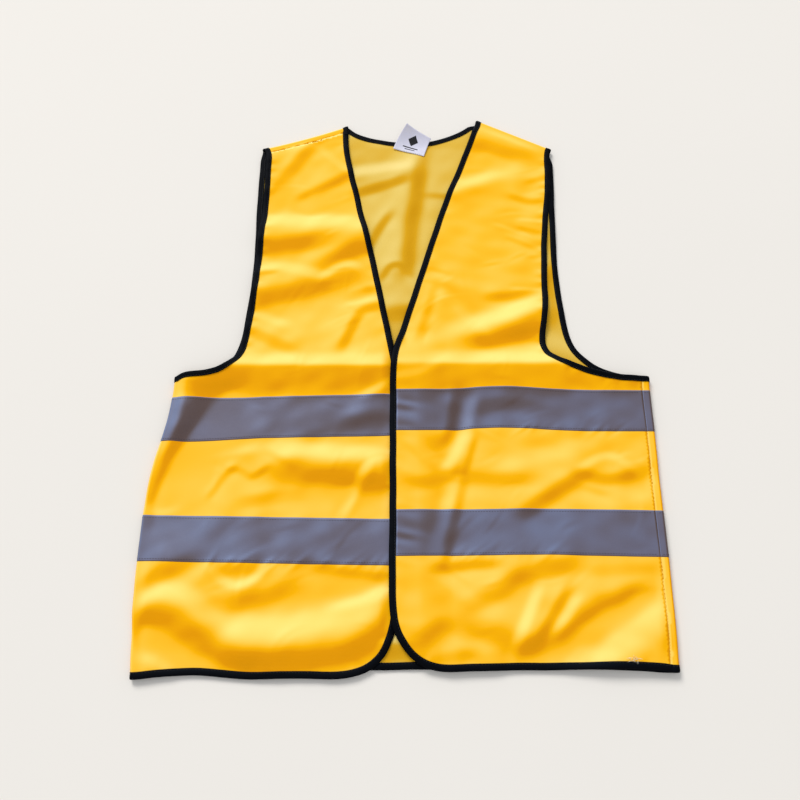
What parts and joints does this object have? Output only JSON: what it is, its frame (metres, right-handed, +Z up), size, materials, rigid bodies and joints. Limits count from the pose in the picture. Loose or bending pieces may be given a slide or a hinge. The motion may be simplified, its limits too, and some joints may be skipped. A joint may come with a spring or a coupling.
{
  "type": "high visibility vest",
  "caption": "Sleeveless fluorescent safety vest with reflective bands round the body, bound edges and an overlapping front closure, lying flat.",
  "frame": {"origin": "middle of the garment's footprint, at floor level, with the vest lying flat on its back", "axes": "+Z up from the floor, +Y from the hem to the shoulders, +X towards the wearer's left side"},
  "size_m": [0.5804, 0.7368, 0.0114],
  "materials": {
    "fluorescent_fabric": "satin warp-knit polyester, yellow-orange, soft sheen",
    "reflective_tape": "glass-bead retroreflective tape on a textile back, silver grey, slightly shiny",
    "binding": "black folded polyester bias tape, matt",
    "label": "white woven satin label",
    "hook_and_loop": "black nylon hook-and-loop, fuzzy and matt"
  },
  "bodies": {
    "back": {"back_panel": "fluorescent_fabric", "side_seam_left": "fluorescent_fabric", "side_seam_right": "fluorescent_fabric", "shoulder_seam_left": "fluorescent_fabric", "shoulder_seam_right": "fluorescent_fabric", "binding_neck_back": "binding", "binding_hem_back": "binding", "binding_armhole_left": "binding", "binding_armhole_right": "binding", "front_panel_left_side": "fluorescent_fabric", "front_panel_right_side": "fluorescent_fabric", "reflective_band_upper_back": "reflective_tape", "reflective_band_lower_back": "reflective_tape", "reflective_band_upper_left_side": "reflective_tape", "reflective_band_lower_left_side": "reflective_tape", "reflective_band_upper_right_side": "reflective_tape", "reflective_band_lower_right_side": "reflective_tape", "binding_hem_left": "binding", "binding_hem_right": "binding"},
    "front_left": {"front_panel_left_flap": "fluorescent_fabric", "binding_front_edge_left": "binding", "reflective_band_upper_left_flap": "reflective_tape", "reflective_band_lower_left_flap": "reflective_tape", "loop_patch_upper": "hook_and_loop", "loop_patch_lower": "hook_and_loop"},
    "front_right": {"front_panel_right_flap": "fluorescent_fabric", "binding_front_edge_right": "binding", "reflective_band_upper_right_flap": "reflective_tape", "reflective_band_lower_right_flap": "reflective_tape", "hook_strip_upper": "hook_and_loop", "hook_strip_lower": "hook_and_loop"},
    "label": {"neck_label": "label"}
  },
  "joints": [
    {"name": "front_left_open", "type": "hinge", "parent": "back", "child": "front_left", "pos_m": [0.10703, 0.3667, 0.0119], "axis": [-0.1144, 0.9934, 0], "range_deg": [0, 170]},
    {"name": "front_right_open", "type": "hinge", "parent": "back", "child": "front_right", "pos_m": [-0.08617, 0.3577, 0.0073], "axis": [-0.0986, -0.9951, 0], "range_deg": [0, 165]},
    {"name": "label_flip", "type": "hinge", "parent": "back", "child": "label", "pos_m": [0.00603, 0.3159, 0.0036], "axis": [0.9449, -0.3272, 0], "range_deg": [0, 150]}
  ],
  "couplings": [
    {"joint": "front_right_open", "follows": "front_left_open", "ratio": 0.95}
  ]
}
